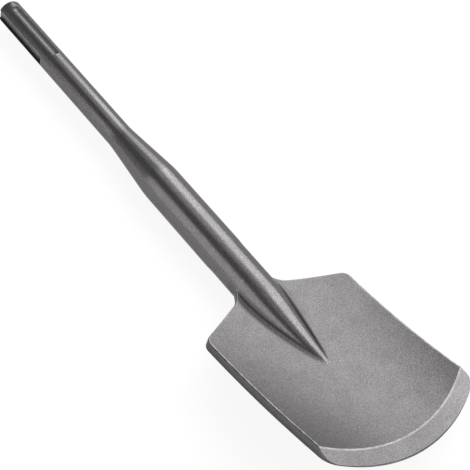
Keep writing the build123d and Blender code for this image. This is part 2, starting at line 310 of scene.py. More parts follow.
class StudioSettings(bpy.types.PropertyGroup):
    """Camera, lamps and floor."""

    camera_place: FloatVectorProperty(name="Camera place", description="Where the camera stands",
                                      default=(0.59301, -0.28501, 0.81592), subtype="XYZ", unit="LENGTH")
    camera_aim: FloatVectorProperty(name="Camera aim", description="Where the middle of the picture is",
                                    default=(0.16294, 0.01432, 0.0), subtype="XYZ", unit="LENGTH")
    camera_roll: angle("Camera roll", "Turn of the camera about its view", -2.2604)
    focal_length: FloatProperty(name="Focal length", description="Focal length in millimetres",
                                default=114.90, min=1.0)
    key_power: FloatProperty(name="Key power", description="Power of the large soft box in watts",
                             default=17.0, min=0.0)
    side_power: FloatProperty(name="Side power", description="Power of the long soft box in watts",
                              default=6.8, min=0.0)
    top_power: FloatProperty(name="Top power", description="Power of the small overhead soft box in watts",
                             default=1.0, min=0.0)
    fill_strength: FloatProperty(name="Fill strength", description="Strength of the studio's own light",
                                 default=0.30, min=0.0)
    lamp_aim: FloatVectorProperty(name="Lamp aim", description="Where the soft boxes face",
                                  default=(0.15, 0.0, 0.01), subtype="XYZ", unit="LENGTH")
    lamp_distance: length("Lamp distance", "How far from there the soft boxes hang", 1.3)
    floor_radius: length("Floor radius", "Radius of the round floor, out to its wall", 12.0)
    wall_bend: length("Wall bend", "Radius of the bend from the floor up to its wall", 1.0)
    wall_height: length("Wall height", "Height of the wall", 1.6)
    floor_paint: colour("Floor paint", "Colour in which the floor lights the tool", (0.8, 0.8, 0.8, 1.0))
    floor_shade: colour("Floor shade", "What the lamps add to the floor's glow, and a shadow takes away",
                        (0.16, 0.16, 0.16, 1.0))
    near_glow: share("Near glow", "Glow beside the tool, as the camera and the steel see it", 0.87)
    far_glow: share("Far glow", "The same far from the tool", 0.98)
    glow_start: length("Glow start", "Distance from the tool at which the glow begins to rise", 0.7)
    glow_end: length("Glow end", "Distance at which it is at its highest", 2.5)


def smooth_step(value):
    """Smooth rise from 0 to 1."""
    rise = np.clip(value, 0.0, 1.0)
    return rise * rise * (3 - 2 * rise)


def arc_rise(radius, offset):
    """How far a circle leaves its tangent at an offset along it."""
    return radius - np.sqrt(np.maximum(radius**2 - np.square(offset), 0.0))


class Forging:
    """The tool's form as it is drawn: X along the shank from the driven end, Z on the hollow side."""

    def __init__(self, scene):
        self.bar = scene.spade_bar
        self.fairing = scene.spade_fairing
        self.blade = scene.spade_blade
        self.edge = scene.spade_edge
        self.flare_end = self.bar.shank_length + self.bar.flare_length
        self.step_start = self.flare_end + self.bar.shaft_length
        self.fairing_start = self.step_start + self.bar.neck_step + self.bar.neck_length
        self.corner_x = self.fairing_start + self.blade.setback
        self.edge_x = self.corner_x + self.blade.length
        self.edge_centre = self.edge_x - self.edge.arc_radius
        self.bevel_x = self.edge_x - self.edge.bevel_width
        self.bevel_centre = self.bevel_x - self.edge.bevel_arc
        self.half = self.blade.width / 2
        self.front_x = self.bevel_centre + math.sqrt(self.edge.bevel_arc**2 - self.half**2)
        underside = self.blade.thickness / 2 + self.blade.sink
        self.neck_radius = self.bar.neck_diameter / 2
        self.root_y = math.sqrt(self.neck_radius**2 - underside**2)
        slant = math.tan(self.blade.shoulder_angle)
        self.root_x = self.corner_x - (self.half - self.root_y) * slant

    def bar_radius(self, x):
        """Radius of the bar at x, with its end rounded and its flare blended."""
        bar = self.bar
        shank, shaft = bar.shank_diameter / 2, bar.shaft_diameter / 2
        radius = np.interp(x, [bar.shank_length, self.flare_end], [shank, shaft])
        slope = math.atan2(shaft - shank, bar.flare_length)
        reach = bar.flare_blend * math.tan(slope / 2)
        past = x - (bar.shank_length - reach)
        ahead = self.flare_end + reach - x
        turn = bar.flare_blend * math.sin(slope)
        radius = np.where((past > 0) & (past < turn), shank + arc_rise(bar.flare_blend, past), radius)
        radius = np.where((ahead > 0) & (ahead < turn), shaft - arc_rise(bar.flare_blend, ahead), radius)
        radius = radius - (shaft - self.neck_radius) * smooth_step((x - self.step_start) / bar.neck_step)
        return radius - arc_rise(bar.end_round, np.maximum(bar.end_round - x, 0.0))

    def keel_height(self, x):
        """Height of the hollow face on its centre line, over the shank's axis."""
        sweep_start = self.fairing_start - self.blade.sweep_lead
        rise = arc_rise(self.blade.sweep_radius, x - sweep_start)
        return self.blade.thickness / 2 - self.blade.sink + rise

    def hollow_radius(self, x):
        """Radius of the hollow across the blade, which tightens evenly to the front."""
        along = (x - self.corner_x) / (self.front_x - self.corner_x)
        return 1 / ((1 - along) / self.blade.rear_hollow + along / self.blade.front_hollow)

    def fairing_circle(self, x):
        """Radius of the neck or its fairing at x, and the height of its centre."""
        along = np.clip((x - self.fairing_start) / self.fairing.length, 0.0, 1.0)
        ease = along**self.fairing.exponent
        radius = self.neck_radius + ease * (self.fairing.tip_radius - self.neck_radius)
        return radius, smooth_step(along) * (self.keel_height(x) - self.blade.thickness / 2)

    def blend_radius(self, x):
        """Radius of the blend between the fairing and a face, which grows from the neck."""
        fairing = self.fairing
        growth = smooth_step((x - self.root_x + fairing.blend_growth / 2) / fairing.blend_growth)
        return fairing.blend_start + (fairing.blend_radius - fairing.blend_start) * growth

    def face_height(self, x, y, depth):
        """Height of the hollow face at depth 0, or of the underside at the plate's thickness."""
        centre = self.keel_height(x) + self.hollow_radius(x)
        return centre - np.sqrt((self.hollow_radius(x) + depth) ** 2 - y**2)

    def blend_section(self, x, depth):
        """Centre of the blend across the blade at x, and how far out its two ends are."""
        sign = -1.0 if depth > 0 else 1.0
        plate_r = self.hollow_radius(x) + depth
        radius, height = self.fairing_circle(x)
        fillet = self.blend_radius(x)
        apart = self.keel_height(x) + self.hollow_radius(x) - height
        to_fairing = radius + fillet
        to_plate = plate_r - sign * fillet
        rise = (to_fairing**2 - to_plate**2 + apart**2) / (2 * apart)
        out = np.sqrt(np.maximum(to_fairing**2 - rise**2, 0.0))
        return out, height + rise, out * radius / to_fairing, out * plate_r / to_plate

    def forged_height(self, x, y, depth):
        """Height of a face with the fairing that rises out of it and the blend between them."""
        sign = -1.0 if depth > 0 else 1.0
        aside = np.abs(y)
        plate = self.face_height(x, y, depth)
        radius, height = self.fairing_circle(x)
        fillet = self.blend_radius(x)
        blend_y, blend_z, crown_end, blend_end = self.blend_section(x, depth)
        crown = height + sign * np.sqrt(np.maximum(radius**2 - aside**2, 0.0))
        hollow = blend_z - sign * np.sqrt(np.maximum(fillet**2 - (aside - blend_y) ** 2, 0.0))
        surface = np.where(aside < blend_end, hollow, plate)
        surface = np.where(aside < crown_end, crown, surface)
        return np.where(blend_y > 0, surface, plate)

    def bevel_height(self, x, y):
        """Height of the ground bevel, which falls evenly along radii of the edge's arc."""
        turn = np.arctan2(y, x - self.edge_centre)
        out = np.hypot(x - self.edge_centre, y)
        offset = self.edge_centre - self.bevel_centre
        inner = np.sqrt(self.edge.bevel_arc**2 - (offset * np.sin(turn)) ** 2) - offset * np.cos(turn)
        top = self.face_height(self.edge_centre + inner * np.cos(turn), inner * np.sin(turn), 0.0)
        edge_r = self.edge.arc_radius
        face = self.face_height(self.edge_centre + edge_r * np.cos(turn), edge_r * np.sin(turn), 0.0)
        low = face - self.blade.thickness + self.edge.land
        return top + (low - top) * (out - inner) / (edge_r - inner)

    def side_width(self, x, depth):
        """Half width at x, waisted, for side walls that stand square to the plate."""
        along = (x - self.corner_x) / (self.front_x - self.corner_x)
        width = self.half - self.blade.waist * 4 * along * (1 - along)
        return width * (1 + depth / self.hollow_radius(x))


def arc_points(centre, radius, start, end, count):
    """Points of an arc and their unit directions from its centre, both ends included."""
    turn = np.linspace(start, end, count)
    away = np.stack([np.cos(turn), np.sin(turn)], axis=1)
    return np.array(centre) + radius * away, away


class Outline:
    """Half of the blade's outline at one depth: a point and an inward direction for each row."""

    def __init__(self, forging, depth, density):
        self.forging = forging
        self.depth = depth
        self.density = density
        parts = [self.shoulder(), self.rear_corner(), self.side(), self.front_corner()]
        self.counts = [len(points) for points, inward in parts]
        self.points = np.concatenate([points for points, inward in parts])
        self.inward = np.concatenate([inward for points, inward in parts])

    def shoulder(self):
        """Fillet out of the neck and the straight shoulder, up to the rear corner."""
        forging, blade = self.forging, self.forging.blade
        slant = blade.shoulder_angle
        lead = blade.shoulder_fillet * math.tan((math.pi / 2 - slant) / 2)
        centre = (forging.root_x - lead, forging.root_y + blade.shoulder_fillet)
        fillet, away = arc_points(centre, blade.shoulder_fillet, -math.pi / 2, -slant, SHOULDER_FILLET_POINTS)
        along = np.array([math.sin(slant), math.cos(slant)])
        inward = np.array([math.cos(slant), -math.sin(slant)])
        root = np.array([forging.root_x, forging.root_y])
        width = forging.side_width(forging.corner_x, self.depth)
        corner = blade.rear_corner
        run = (width - corner - root[1] + corner * math.sin(slant)) / math.cos(slant)
        self.corner_centre = root + along * run + inward * corner
        shares = np.linspace(0.0, 1.0, SHOULDER_LINE_POINTS)[1:-1, None]
        line = fillet[-1] + (root + along * run - fillet[-1]) * shares
        return np.concatenate([fillet, line]), np.concatenate([away, np.tile(inward, (len(line), 1))])

    def rear_corner(self):
        """Round of the rear corner, from the shoulder to the side."""
        blade = self.forging.blade
        start = math.pi - blade.shoulder_angle
        points, away = arc_points(self.corner_centre, blade.rear_corner, start, math.pi / 2,
                                  REAR_CORNER_POINTS)
        return points, -away

    def side(self):
        """Side from the rear corner to the line where the bevel begins."""
        forging = self.forging
        start = self.corner_centre[0]
        count = 1 + round((forging.bevel_x - forging.corner_x) / self.density.blade_step)
        self.keel_places = np.linspace(start, forging.bevel_x, count)[1:]
        bend_start = forging.fairing_start + forging.fairing.length / 2
        bend = smooth_step((self.keel_places - bend_start) / (forging.bevel_x - bend_start))
        x = self.keel_places
        for _ in range(CLOSING_ROUNDS):
            reach = forging.side_width(x, 0.0)
            x = self.keel_places - bend * arc_rise(forging.edge.bevel_arc, reach)
        return self.along_side(x)

    def along_side(self, x):
        """Points of the side at the places x, and their inward directions."""
        forging = self.forging
        probe = self.density.blade_step * SLOPE_PROBE
        width = forging.side_width(x, self.depth)
        slope = (forging.side_width(x + probe, self.depth) - width) / probe
        inward = np.stack([slope, -np.ones_like(slope)], axis=1)
        return np.stack([x, width], axis=1), inward / np.linalg.norm(inward, axis=1)[:, None]

    def front_corner(self):
        """Rest of the side and the round of the front corner, up to the cutting edge."""
        forging = self.forging
        corner = forging.blade.front_corner
        reach = forging.edge.arc_radius - corner
        centre_x = forging.front_x
        for _ in range(CLOSING_ROUNDS):
            centre_y = float(forging.side_width(centre_x, self.depth)) - corner
            centre_x = forging.edge_centre + math.sqrt(reach**2 - centre_y**2)
        side, side_inward = self.along_side(np.linspace(forging.front_x, centre_x, SIDE_END_POINTS)[1:-1])
        end = math.atan2(centre_y, centre_x - forging.edge_centre)
        corner_points, away = arc_points((centre_x, centre_y), corner, math.pi / 2, end, FRONT_CORNER_POINTS)
        return np.concatenate([side, corner_points]), np.concatenate([side_inward, -away])


def spread_evenly(path, count, turn_weight):
    """Places along a path, in shares of its samples, that crowd where the path turns."""
    steps = np.diff(path, axis=0)
    lengths = np.linalg.norm(steps, axis=1)
    heading = np.arctan2(steps[:, 2], np.hypot(steps[:, 0], steps[:, 1]))
    turns = np.abs(np.diff(heading, prepend=heading[0]))
    measure = np.concatenate([[0.0], np.cumsum(lengths + turn_weight * turns)])
    return np.interp(np.linspace(0.0, measure[-1], count), measure, np.linspace(0.0, 1.0, len(path)))


class Blank:
    """Closed mesh of the forged and ground tool, as rings of points from its end to its edge."""

    def __init__(self, scene):
        self.forging = Forging(scene)
        self.density = scene.spade_density
        self.marks = scene.spade_marks
        self.roll = scene.spade_bar.roll
        self.insertion = scene.spade_bar.insertion
        self.across = self.density.face_points
        self.down = 2 * self.density.rim_points + self.density.wall_points
        neck, blade = self.forging.neck_radius, self.forging.blade
        self.easing_room = neck - self.forging.root_y + EASED_RIMS * blade.rim_round
        keel = self.forging.keel_height(self.forging.root_x)
        margin = blade.rim_round / neck
        self.top_angle = math.asin(keel / neck) + margin
        self.under_angle = math.asin((blade.thickness - keel) / neck) + margin

    def bar_ring(self, x, radius):
        """Ring about the shank's axis, divided as the rings of the blade are."""
        top, under, down = self.top_angle, self.under_angle, self.down
        turns = np.concatenate([
            np.linspace(top, math.pi - top, self.across),
            np.linspace(math.pi - top, math.pi + under, down + 2)[1:-1],
            np.linspace(math.pi + under, 2 * math.pi - under, self.across),
            np.linspace(-under, top, down + 2)[1:-1],
        ])
        return np.stack([np.full_like(turns, x), radius * np.cos(turns), radius * np.sin(turns)], axis=1)

    def bar_rings(self):
        """Rings of the driven end, shank, flare, shaft and neck, up to the blade's first row."""
        forging, bar = self.forging, self.forging.bar
        end_radius = float(forging.bar_radius(0.0))
        rings = [self.bar_ring(0.0, end_radius * inside) for inside in END_FACE_RINGS]
        turns = np.linspace(0.0, math.pi / 2, END_ROUND_POINTS)
        places = list(bar.end_round * (1 - np.cos(turns)))
        last = self.top_outline.points[0][0] - self.density.bar_step
        count = round((last - places[-1]) / self.density.bar_step)
        places += list(np.linspace(places[-1], last, count + 1)[1:])
        return rings + [self.bar_ring(x, float(forging.bar_radius(x))) for x in places]

    def lay_out_rows(self):
        """Row ends in plan, and the place, the bend and the share of the bevel of each row."""
        forging, edge = self.forging, self.forging.edge
        self.top_outline = Outline(forging, 0.0, self.density)
        self.under_outline = Outline(forging, forging.blade.thickness, self.density)
        rear = sum(self.top_outline.counts[:2])
        front = self.top_outline.counts[3]
        corner = self.top_outline.points[-front - 1:]
        run = np.cumsum(np.linalg.norm(np.diff(corner, axis=0), axis=1))
        self.bevel_share = np.concatenate([np.zeros(len(self.top_outline.points) - front), run / run[-1]])
        self.keel_places = np.concatenate([
            self.top_outline.points[:rear, 0],
            self.top_outline.keel_places,
            forging.bevel_x + edge.bevel_width * run / run[-1],
        ])
        self.bend_radius = edge.bevel_arc + (edge.arc_radius - edge.bevel_arc) * self.bevel_share
        self.first_bevel_row = len(self.bevel_share) - front - 1

    def corner_points(self, outline, depth):
        """Sharp corners of the section at each row's end, points set in from them, and their rounding."""
        forging, blade = self.forging, self.forging.blade
        ground_share = self.bevel_share[:, None]
        plan = self.under_outline.points.copy()
        fade = self.bevel_share
        if depth == 0.0:
            kept = 1 - (1 - forging.edge.land / blade.thickness) * ground_share
            plan += (self.top_outline.points - plan) * kept
            ahead = self.top_outline.points[self.first_bevel_row][0] - plan[:, 0]
            fade = np.where(self.bevel_share > 0, 1.0, 1 - smooth_step(ahead / (2 * blade.rim_round)))
        round_off = blade.rim_round + (forging.edge.ground_round - blade.rim_round) * fade
        tangent = plan - np.array([forging.edge_centre, 0.0])
        tangent = np.stack([tangent[:, 1], -tangent[:, 0]], axis=1)
        tangent /= np.linalg.norm(tangent, axis=1)[:, None]
        inward = outline.inward * (1 - ground_share) + tangent * ground_share
        inward /= np.linalg.norm(inward, axis=1)[:, None]
        inset = plan + inward * round_off[:, None]
        return self.lift(plan, depth), self.lift(inset, depth), round_off

    def lift(self, plan, depth):
        """Plan points of the rows' ends, one for each row, raised to the face."""
        height = self.height(plan[:, 0], plan[:, 1], depth, self.bevel_share)
        return np.column_stack([plan, height])

    def height(self, x, y, depth, bevel_share):
        """Height of a face, ground down where a row is past the bevel's inner line."""
        forged = self.forging.forged_height(x, y, depth)
        if depth > 0:
            return forged
        return np.where(bevel_share > 0, self.forging.bevel_height(x, y), forged)

    def face_row(self, row, inset, depth):
        """Points of one face along a row, from its right end to its left."""
        path = self.row_path(row, inset, depth, np.linspace(1.0, -1.0, ROW_SAMPLES))
        shares = spread_evenly(path, self.across, self.forging.fairing.blend_radius * TURN_PULL)
        return self.row_path(row, inset, depth, 1 - 2 * shares)

    def row_path(self, row, inset, depth, shares):
        """Points of a row at shares of its half width, bent towards the edge's own arc."""
        radius = self.bend_radius[row]
        y = inset[1] * shares
        bend = arc_rise(radius, y) / arc_rise(radius, inset[1])
        x = self.keel_places[row] + (inset[0] - self.keel_places[row]) * bend
        z = self.height(x, y, depth, np.full_like(x, self.bevel_share[row]))
        return np.stack([x, y, z], axis=1)

    def side_points(self, top, under):
        """Rounded rims and side wall of every row, from the hollow face to the underside."""
        top_corner, top_inset, top_round = top
        under_corner, under_inset, under_round = under
        drop = under_corner - top_corner
        drop /= np.linalg.norm(drop, axis=1)[:, None]
        top_wall = top_corner + drop * top_round[:, None]
        under_wall = under_corner - drop * under_round[:, None]
        rim = np.arange(1, self.density.rim_points + 1) / self.density.rim_points
        walls = np.arange(1, self.density.wall_points + 1) / (self.density.wall_points + 1)
        points = [round_corner(top_inset, top_corner, top_wall, part) for part in rim]
        points += [top_wall + (under_wall - top_wall) * part for part in walls]
        points += [round_corner(under_wall, under_corner, under_inset, part) for part in 1 - rim[::-1]]
        return np.stack(points, axis=1)

    def blade_rings(self):
        """Rings of the blade, the first of them eased out of the round neck."""
        thickness = self.forging.blade.thickness
        top = self.corner_points(self.top_outline, 0.0)
        under = self.corner_points(self.under_outline, thickness)
        sides = self.side_points(top, under)
        shoulder = self.top_outline.points[:self.top_outline.counts[0], 1]
        self.eased_rows = int(np.count_nonzero(shoulder < self.forging.root_y + self.easing_room))
        rings = []
        for row, right in enumerate(sides):
            left = right * np.array([1, -1, 1])
            top_face = self.face_row(row, top[1][row], 0.0)
            under_face = self.face_row(row, under[1][row], thickness)[::-1]
            ring = np.concatenate([top_face, left, under_face, right[::-1]])
            rings.append(self.ease_from_neck(row, ring))
        return rings

    def ease_from_neck(self, row, ring):
        """A ring of the blade, mixed with the neck's where the shoulder starts."""
        forging = self.forging
        if row >= self.eased_rows:
            return ring
        weight = float(smooth_step((self.top_outline.points[row][1] - forging.root_y) / self.easing_room))
        x = self.keel_places[row]
        radius, height = forging.fairing_circle(x)
        neck = self.bar_ring(x, float(radius)) + np.array([0, 0, float(height)])
        return neck + (ring - neck) * weight

    def build(self):
        """The finished mesh with its marks, laid on its rear corner about the shank's axis."""
        self.lay_out_rows()
        bar_rings = self.bar_rings()
        self.first_row = len(bar_rings)
        rings = np.array(bar_rings + self.blade_rings())
        points = np.concatenate([[[0.0, 0.0, 0.0]], rings.reshape(-1, 3)])
        mesh = bpy.data.meshes.new(PIECE_NAME)
        mesh.from_pydata(self.to_frame(points).tolist(), [], self.faces(*rings.shape[:2]))
        bands = (len(rings) - 1, rings.shape[1])
        self.mark_finishes(mesh, bands)
        self.mark_wear_and_shade(mesh, bands)
        self.mark_blade(mesh, rings)
        self.mark_valley_shadow(mesh, rings)
        return mesh

    def faces(self, count, size):
        """Faces of the driven end, of each band between two rings, and of the flat at the edge."""
        index = 1 + np.arange(count * size).reshape(count, size)
        ahead = np.roll(index, -1, axis=1)
        quads = np.stack([index[:-1], ahead[:-1], ahead[1:], index[1:]], axis=-1)
        faces = [(0, b, a) for a, b in zip(index[0].tolist(), ahead[0].tolist())]
        faces += quads.reshape(-1, 4).tolist()
        return faces + self.edge_faces(index[-1].tolist())

    def edge_faces(self, ring):
        """Faces of the flat at the cutting edge, which close the last ring."""
        across, down = self.across, self.down
        top = ring[:across]
        left = ring[across:across + down]
        under = ring[across + down:2 * across + down][::-1]
        right = ring[2 * across + down:]
        faces = [(top[0], top[1], under[1], under[0], *right)]
        faces += [(top[i], top[i + 1], under[i + 1], under[i]) for i in range(1, across - 2)]
        return faces + [(top[-2], top[-1], *left, under[-1], under[-2])]

    def to_frame(self, points):
        """Points moved from the drawing to the frame: origin at the chuck, blade rolled to rest."""
        turn = Matrix.Rotation(-self.roll, 3, "X")
        return (points - np.array([self.insertion, 0.0, 0.0])) @ np.array(turn).T

    def mark_finishes(self, mesh, bands):
        """Face attributes of the ground bevel, and of the side walls and edge, which take a darker steel as
        painted shade.
        """
        ground = np.zeros(bands, dtype=bool)
        ground[self.first_row + self.first_bevel_row:, :self.across - 1] = True
        self.mark_faces(mesh, "ground", ground, False)
        # Side walls and the flat at the edge: painted shade
        shaded_walls = np.zeros(bands, dtype=bool)
        for end_of_face in (self.across, 2 * self.across + self.down):
            wall = end_of_face + self.density.rim_points - 1
            shaded_walls[self.first_row + self.eased_rows:, wall:wall + self.density.wall_points + 1] = True
        self.mark_faces(mesh, "shaded_walls", shaded_walls, True)

    def mark_wear_and_shade(self, mesh, bands):
        """Face attribute of the rims and the bevel: wear and painted highlights above 0, dullness and painted
        shade below.
        """
        wear = np.zeros(bands)
        section = self.wear_and_shade_of_section(bands[1])
        rims = wear[self.first_row + self.eased_rows:]
        kept = np.linspace(self.marks.rearmost, 1.0, len(rims))[:, None]
        rims[:] = np.where(section > 0, section * kept, section)
        bevel = wear[self.first_row + self.first_bevel_row:, :self.across - 1]
        # Painted shade on the bevel's left half, fading to the right; wear and a painted highlight along its
        # inner line; painted shade along the cutting edge and on the flat at the edge
        bevel[:] = self.marks.bevel_left * smooth_step(np.linspace(0.0, 2.0, self.across - 1))
        bevel[0] = self.marks.bevel_line
        bevel[-1] = self.marks.edge_line
        self.mark_faces(mesh, "wear", wear, self.marks.land)

    def wear_and_shade_of_section(self, size):
        """Wear, painted highlight and painted shade of each face round a section of the blade, the same on
        both sides.
        """
        rim, walls = self.density.rim_points, self.density.wall_points + 1
        crest = rim // 3
        # Wear and a painted highlight on the upper rims' crest; painted shade below it, on the lower rims and
        # at the foot of the walls
        side = np.full(self.down + 1, self.marks.lower_rim)
        side[:crest] = self.marks.upper_rim
        side[crest:rim] = self.marks.rim_foot
        side[rim:rim + walls] = self.marks.wall_foot * (np.arange(walls) / walls) ** 2
        wear = np.zeros(size)
        wear[self.across - 1:self.across + self.down] = side
        wear[size - self.down - 1:] = side[::-1]
        return wear

    def mark_blade(self, mesh, rings):
        """Point attribute that is 1 on the blade's plate and 0 on the bar and its fairing."""
        blade = np.zeros(rings.shape[:2])
        blade[self.first_row:] = 1.0
        for start, depth in ((0, 0.0), (self.across + self.down, self.forging.blade.thickness)):
            face = rings[self.first_row:, start:start + self.across]
            crown_end = self.forging.blend_section(face[..., 0], depth)[2]
            blade[self.first_row:, start:start + self.across][np.abs(face[..., 1]) < crown_end] = 0.0
        self.mark_points(mesh, "blade", blade)

    def mark_valley_shadow(self, mesh, rings):
        """Point attribute that is 1 in the left valley at the fairing's foot, where the steel is darkened by
        a painted shadow.
        """
        marks = self.marks
        face = rings[self.first_row:, :self.across]
        blend_y, blend_z, crown_end, blend_end = self.forging.blend_section(face[..., 0], 0.0)
        left = -face[..., 1]
        reach = marks.valley_width * np.clip(blend_end / marks.valley_taper, marks.valley_least, 1.0)
        outward = (reach + blend_end - left) / (marks.valley_fade * reach)
        inward = (left - crown_end) / np.maximum(blend_end - crown_end, LEAST_BLEND)
        fading = np.clip(np.minimum(outward, inward), 0.0, 1.0)
        valley = np.zeros(rings.shape[:2])
        valley[self.first_row:, :self.across] = np.where(blend_y > 0, fading, 0.0)
        self.mark_points(mesh, "valley", valley)

    def mark_points(self, mesh, name, rings):
        """A point attribute from a value for each point of each ring."""
        values = np.concatenate([[0.0], rings.ravel()])
        mesh.attributes.new(name, "FLOAT", "POINT").data.foreach_set("value", values)

    def mark_faces(self, mesh, name, marks, land):
        """A face attribute from a value for each face of each band, and one for the flat at the edge."""
        values = np.full(len(mesh.polygons), land)
        values[:marks.shape[1]] = 0
        values[marks.shape[1]:marks.shape[1] + marks.size] = marks.ravel()
        kind = "BOOLEAN" if marks.dtype == bool else "FLOAT"
        mesh.attributes.new(name, kind, "FACE").data.foreach_set("value", values)


def round_corner(start, corner, end, part):
    """Point of the curve that rounds a corner, at a part of its way."""
    return start * (1 - part) ** 2 + corner * 2 * part * (1 - part) + end * part**2


def place(tree, kind, inputs=(), **settings):
    """A new node with its settings, its input values and its links."""
    node = tree.nodes.new(kind)
    for name, value in settings.items():
        setattr(node, name, value)
    for socket, source in dict(inputs).items():
        if isinstance(source, bpy.types.NodeSocket):
            tree.links.new(source, node.inputs[socket])
        else:
            node.inputs[socket].default_value = source
    return node


def calculate(tree, operation, *terms):
    """Output of a Math node on values or sockets."""
    return place(tree, "ShaderNodeMath", enumerate(terms), operation=operation).outputs[0]


def combine(tree, **parts):
    """Output of a vector that is put together from its X, Y and Z."""
    return place(tree, "ShaderNodeCombineXYZ", parts).outputs[0]


def remap(tree, value, low, high, start=0.0, end=1.0):
    """Output that goes from low to high as a value goes from its start to its end."""
    return place(tree, "ShaderNodeMapRange", {
        "Value": value, "From Min": start, "From Max": end, "To Min": low, "To Max": high}).outputs[0]


def marked(tree, name):
    """Output of an attribute that is marked on the mesh."""
    return place(tree, "ShaderNodeAttribute", attribute_name=name).outputs["Fac"]


def new_group(name, kind, inputs, outputs):
    """A node group with named sockets, its inputs and its outputs."""
    tree = bpy.data.node_groups.new(name, kind)
    for socket, socket_kind in inputs.items():
        tree.interface.new_socket(socket, in_out="INPUT", socket_type=socket_kind)
    for socket, socket_kind in outputs.items():
        tree.interface.new_socket(socket, in_out="OUTPUT", socket_type=socket_kind)
    return tree, tree.nodes.new("NodeGroupInput").outputs, tree.nodes.new("NodeGroupOutput").inputs


def run_group(tree, group, inputs):
    """Output of a geometry group that is run inside another tree."""
    return place(tree, "GeometryNodeGroup", inputs, node_tree=group).outputs[0]


def ring_of_cutters():
    """Geometry group that repeats one cutter about the shank."""
    tree, given, result = new_group("cutters_about_shank", "GeometryNodeTree", {
        "Cutter": "NodeSocketGeometry", "Count": "NodeSocketInt", "First Angle": "NodeSocketFloat",
        "Step Angle": "NodeSocketFloat"}, {"Cutters": "NodeSocketGeometry"})
    points = place(tree, "GeometryNodePoints", {"Count": given["Count"]})
    number = place(tree, "GeometryNodeInputIndex").outputs[0]
    turn = calculate(tree, "MULTIPLY_ADD", number, given["Step Angle"], given["First Angle"])
    rotation = place(tree, "FunctionNodeEulerToRotation", {"Euler": combine(tree, X=turn)})
    copies = place(tree, "GeometryNodeInstanceOnPoints", {
        "Points": points.outputs[0], "Instance": given["Cutter"], "Rotation": rotation.outputs[0]})
    tree.links.new(copies.outputs[0], result["Cutters"])
    return tree


def new_cutter(name, sizes):
    """A geometry group for a groove's cutter, which is given as named sizes."""
    inputs = {size: "NodeSocketFloat" for size in ("Shank Radius", "Depth", *sizes)}
    return new_group(name, "GeometryNodeTree", inputs, {"Cutter": "NodeSocketGeometry"})


def place_along(tree):
    """Output of how far each point lies along X."""
    position = place(tree, "GeometryNodeInputPosition").outputs[0]
    return place(tree, "ShaderNodeSeparateXYZ", {0: position}).outputs["X"]


def shift_along(tree, geometry, shift):
    """Geometry whose points are each shifted along X."""
    return place(tree, "GeometryNodeSetPosition", {
        "Geometry": geometry, "Offset": combine(tree, X=shift)}).outputs[0]


def sink_cutter(tree, given, geometry, x, radius):
    """Cutter whose centre is at x, and whose lowest side is at the groove's floor."""
    floor = calculate(tree, "SUBTRACT", given["Shank Radius"], given["Depth"])
    height = calculate(tree, "ADD", floor, radius)
    return place(tree, "GeometryNodeTransform", {
        "Geometry": geometry, "Translation": combine(tree, X=x, Z=height)}).outputs[0]


def lock_cutter():
    """Geometry group of the ball-ended cutter of a locking groove, on the shank's upper side."""
    tree, given, result = new_cutter("lock_cutter", ("Start", "End", "Radius"))
    ball = place(tree, "GeometryNodeMeshUVSphere", {"Segments": 64, "Rings": 32, "Radius": given["Radius"]})
    span = calculate(tree, "SUBTRACT", given["End"], given["Start"])
    straight = calculate(tree, "MULTIPLY_ADD", given["Radius"], -2.0, span)
    half = calculate(tree, "MULTIPLY", straight, 0.5)
    shift = calculate(tree, "MULTIPLY", calculate(tree, "SIGN", place_along(tree)), half)
    stretched = shift_along(tree, ball.outputs["Mesh"], shift)
    middle = calculate(tree, "MULTIPLY_ADD", span, 0.5, given["Start"])
    tree.links.new(sink_cutter(tree, given, stretched, middle, given["Radius"]), result["Cutter"])
    return tree


def slot_cutter():
    """Geometry group of the disc cutter of a drive slot, drawn out past the driven end."""
    tree, given, result = new_cutter("slot_cutter", ("Length", "Run-out", "Width"))
    disc = place(tree, "GeometryNodeMeshCylinder", {
        "Vertices": 128, "Radius": given["Run-out"], "Depth": given["Width"]})
    upright = place(tree, "GeometryNodeTransform",
                    {"Geometry": disc.outputs["Mesh"], "Rotation": (math.pi / 2, 0.0, 0.0)})
    behind = calculate(tree, "LESS_THAN", place_along(tree), 0.0)
    shift = calculate(tree, "MULTIPLY", calculate(tree, "MULTIPLY", behind, given["Length"]), -SLOT_DRAW)
    drawn_out = shift_along(tree, upright.outputs[0], shift)
    centre = calculate(tree, "SUBTRACT", given["Length"], given["Run-out"])
    tree.links.new(sink_cutter(tree, given, drawn_out, centre, given["Run-out"]), result["Cutter"])
    return tree


def groove_values(scene, steels):
    """Named values of the grooves and the steels, one for each input of their geometry tree."""
    bar, grooves = scene.spade_bar, scene.spade_grooves
    return {
        "Shank Radius": bar.shank_diameter / 2,
        "Insertion": bar.insertion,
        "Roll": bar.roll,
        "Locking Grooves": grooves.lock_count,
        "Lock Start": grooves.lock_start,
        "Lock End": grooves.lock_end,
        "Lock Radius": grooves.lock_radius,
        "Lock Depth": grooves.lock_depth,
        "Slot Length": grooves.slot_length,
        "Slot Depth": grooves.slot_depth,
        "Slot Run-out": grooves.slot_runout,
        "Wide Width": grooves.wide_width,
        "Pair Width": grooves.pair_width,
        "Pair Angle": grooves.pair_angle,
        **steels,
    }


def kind_of_socket(value):
    """Kind of socket that holds a value."""
    if isinstance(value, bpy.types.Material):
        return "NodeSocketMaterial"
    return "NodeSocketInt" if isinstance(value, int) else "NodeSocketFloat"


